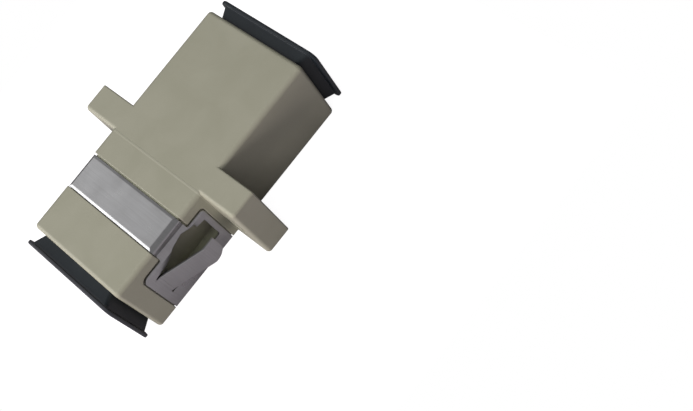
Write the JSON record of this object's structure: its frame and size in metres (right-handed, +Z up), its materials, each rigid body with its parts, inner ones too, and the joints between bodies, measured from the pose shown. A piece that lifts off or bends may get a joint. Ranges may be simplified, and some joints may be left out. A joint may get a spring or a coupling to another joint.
{
  "type": "sc fibre adapter",
  "caption": "Panel-mount simplex fibre adapter: beige moulded body with screw flange, sprung steel panel clip, split alignment sleeve and a dark dust cap in each port.",
  "frame": {"origin": "middle of the alignment sleeve's bore, which is the middle of the flange's thickness, width and height", "axes": "+X along the fibre from the clip side to the rear, +Z up through the clip's strap, Y across the body along the flange"},
  "size_m": [0.0304, 0.0216, 0.0094],
  "materials": {
    "housing_plastic": "fine matt moulding, beige",
    "holder_plastic": "smooth moulding, off-white",
    "sleeve_ceramic": "ground, white",
    "clip_steel": "rolled stainless sheet, satin",
    "cap_plastic": "soft moulding, near black"
  },
  "bodies": {
    "adapter": {"front_housing": "housing_plastic", "rear_housing": "housing_plastic", "front_sleeve_holder": "holder_plastic", "rear_sleeve_holder": "holder_plastic", "alignment_sleeve": "sleeve_ceramic", "panel_clip": "clip_steel"},
    "near_wing": {"near_clip_wing": "clip_steel"},
    "far_wing": {"far_clip_wing": "clip_steel"},
    "front_cap": {"front_dust_cap": "cap_plastic"},
    "rear_cap": {"rear_dust_cap": "cap_plastic"}
  },
  "joints": [
    {"name": "near_wing_press", "type": "hinge", "parent": "adapter", "child": "near_wing", "pos_m": [-0.00995, -0.0063, 0], "axis": [0, 0, 1], "range_deg": [0, 20], "stiffness_Nm_per_rad": 0.1},
    {"name": "far_wing_press", "type": "hinge", "parent": "adapter", "child": "far_wing", "pos_m": [-0.00995, 0.0063, 0], "axis": [0, 0, -1], "range_deg": [0, 20], "stiffness_Nm_per_rad": 0.1},
    {"name": "front_cap_pull", "type": "slide", "parent": "adapter", "child": "front_cap", "axis": [-1, 0, 0], "range_m": [0, 0.02]},
    {"name": "rear_cap_pull", "type": "slide", "parent": "adapter", "child": "rear_cap", "axis": [1, 0, 0], "range_m": [0, 0.02]}
  ]
}
